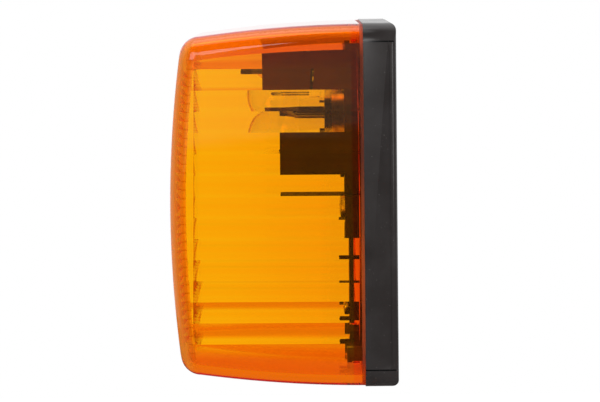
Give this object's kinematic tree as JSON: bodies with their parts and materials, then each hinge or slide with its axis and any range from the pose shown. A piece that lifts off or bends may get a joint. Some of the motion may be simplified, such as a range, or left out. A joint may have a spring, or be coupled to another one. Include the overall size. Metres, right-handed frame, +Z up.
{
  "type": "vehicle indicator lamp",
  "caption": "Surface-mounted vehicle indicator lamp with a deep fluted amber lens clipped over a shallow black base, with a bayonet bulb in a moulded carrier.",
  "frame": {"origin": "centre of the flat mounting face at the rear of the base", "axes": "+Z up as installed, -Y out of the vehicle towards the front of the lens, +Y out of the mounting face, +X to one side"},
  "size_m": [0.096, 0.066, 0.106],
  "materials": {
    "black_plastic": "fine moulded grain, satin",
    "amber_plastic": "clear amber, polished",
    "seal_rubber": "matt",
    "carrier_plastic": "satin",
    "sheet_metal": "rolled",
    "brass": "stamped",
    "insulator": "matt",
    "plated_steel": "zinc plated",
    "nickel": "nickel plated",
    "solder": "dull",
    "clear_glass": "clear",
    "tungsten": "drawn"
  },
  "bodies": {
    "root": {"base_housing": "black_plastic", "lens": "amber_plastic", "lens_gasket": "seal_rubber", "rear_gasket": "seal_rubber", "bulb_carrier": "carrier_plastic", "heat_shield": "sheet_metal", "socket_shell": "brass", "contact_plunger": "insulator", "contact_rivet": "brass", "contact_spring": "plated_steel", "supply_strip": "brass", "earth_strip": "brass", "terminal_block": "carrier_plastic", "terminal_posts": "brass", "terminal_screws": "plated_steel", "bulb_cap": "nickel", "bulb_pins": "brass", "bulb_bead": "insulator", "bulb_contact": "solder", "bulb_glass": "clear_glass", "bulb_stem": "clear_glass", "bulb_leads": "nickel", "bulb_filament": "tungsten", "carrier_screws": "plated_steel", "cable_retainer": "carrier_plastic", "retainer_screw": "plated_steel", "threaded_inserts": "brass", "cable_grommet": "seal_rubber", "breather_plug": "seal_rubber"}
  },
  "joints": []
}
